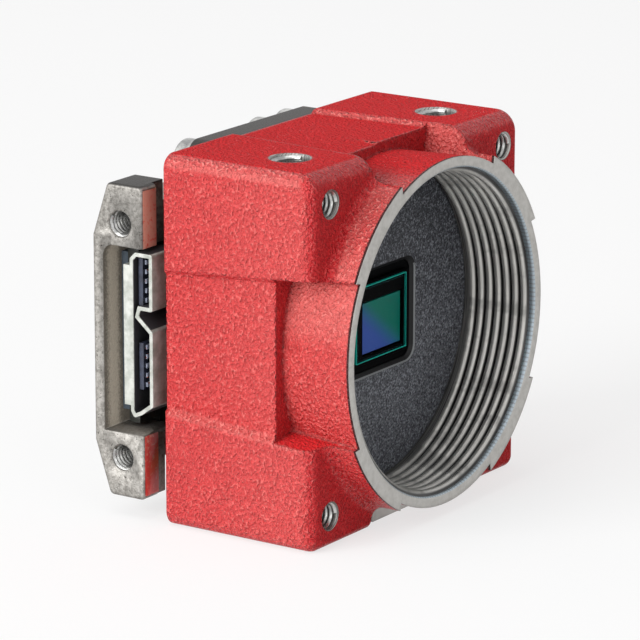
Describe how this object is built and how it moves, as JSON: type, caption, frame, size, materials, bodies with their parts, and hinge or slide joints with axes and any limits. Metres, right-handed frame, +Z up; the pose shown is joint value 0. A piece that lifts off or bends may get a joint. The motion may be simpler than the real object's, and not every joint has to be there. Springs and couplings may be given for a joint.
{
  "type": "machine vision camera",
  "caption": "Board-level machine vision camera: red die-cast front housing with a threaded lens ring, image sensor, stacked boards and a cast rear frame with an upright data socket.",
  "frame": {"origin": "under the middle of the whole camera, on the surface it stands on", "axes": "+X to the right seen from the lens side, -Y out of the lens ring, +Z up"},
  "size_m": [0.029, 0.0228, 0.029],
  "materials": {
    "red_coating": "grained powder coat",
    "cast_metal": "bare die casting",
    "black_plate": "matt black",
    "package": "dark matt",
    "lid_glass": "coated optical glass",
    "silicon": "polished die",
    "seal": "matt",
    "board": "solder resist",
    "chip": "moulded",
    "connector": "moulded",
    "coil_body": "moulded ferrite",
    "capacitor": "fired",
    "steel": "plated",
    "shell_steel": "bright sheet",
    "gold": "gold plated",
    "pad": "soft gap filler"
  },
  "bodies": {
    "root": {"front_housing": "red_coating", "mask_plate": "black_plate", "window_seal": "seal", "sensor_package": "package", "sensor_lid": "lid_glass", "sensor_die": "silicon", "sensor_board": "board", "processing_board": "board", "inner_spacers": "steel", "board_screws": "steel", "mezzanine_header": "connector", "mezzanine_socket": "connector", "rear_header": "connector", "rear_socket": "connector", "image_processor": "chip", "memory_chip": "chip", "interface_board": "board", "interface_screws": "steel", "interface_controller": "chip", "power_coils": "coil_body", "board_capacitors": "capacitor", "io_header": "connector", "io_pins": "gold", "thermal_pad": "pad", "socket_shell": "shell_steel", "socket_insulator": "connector", "socket_contacts": "gold", "rear_frame": "cast_metal", "frame_spacers": "steel", "frame_screws": "steel"}
  },
  "joints": []
}
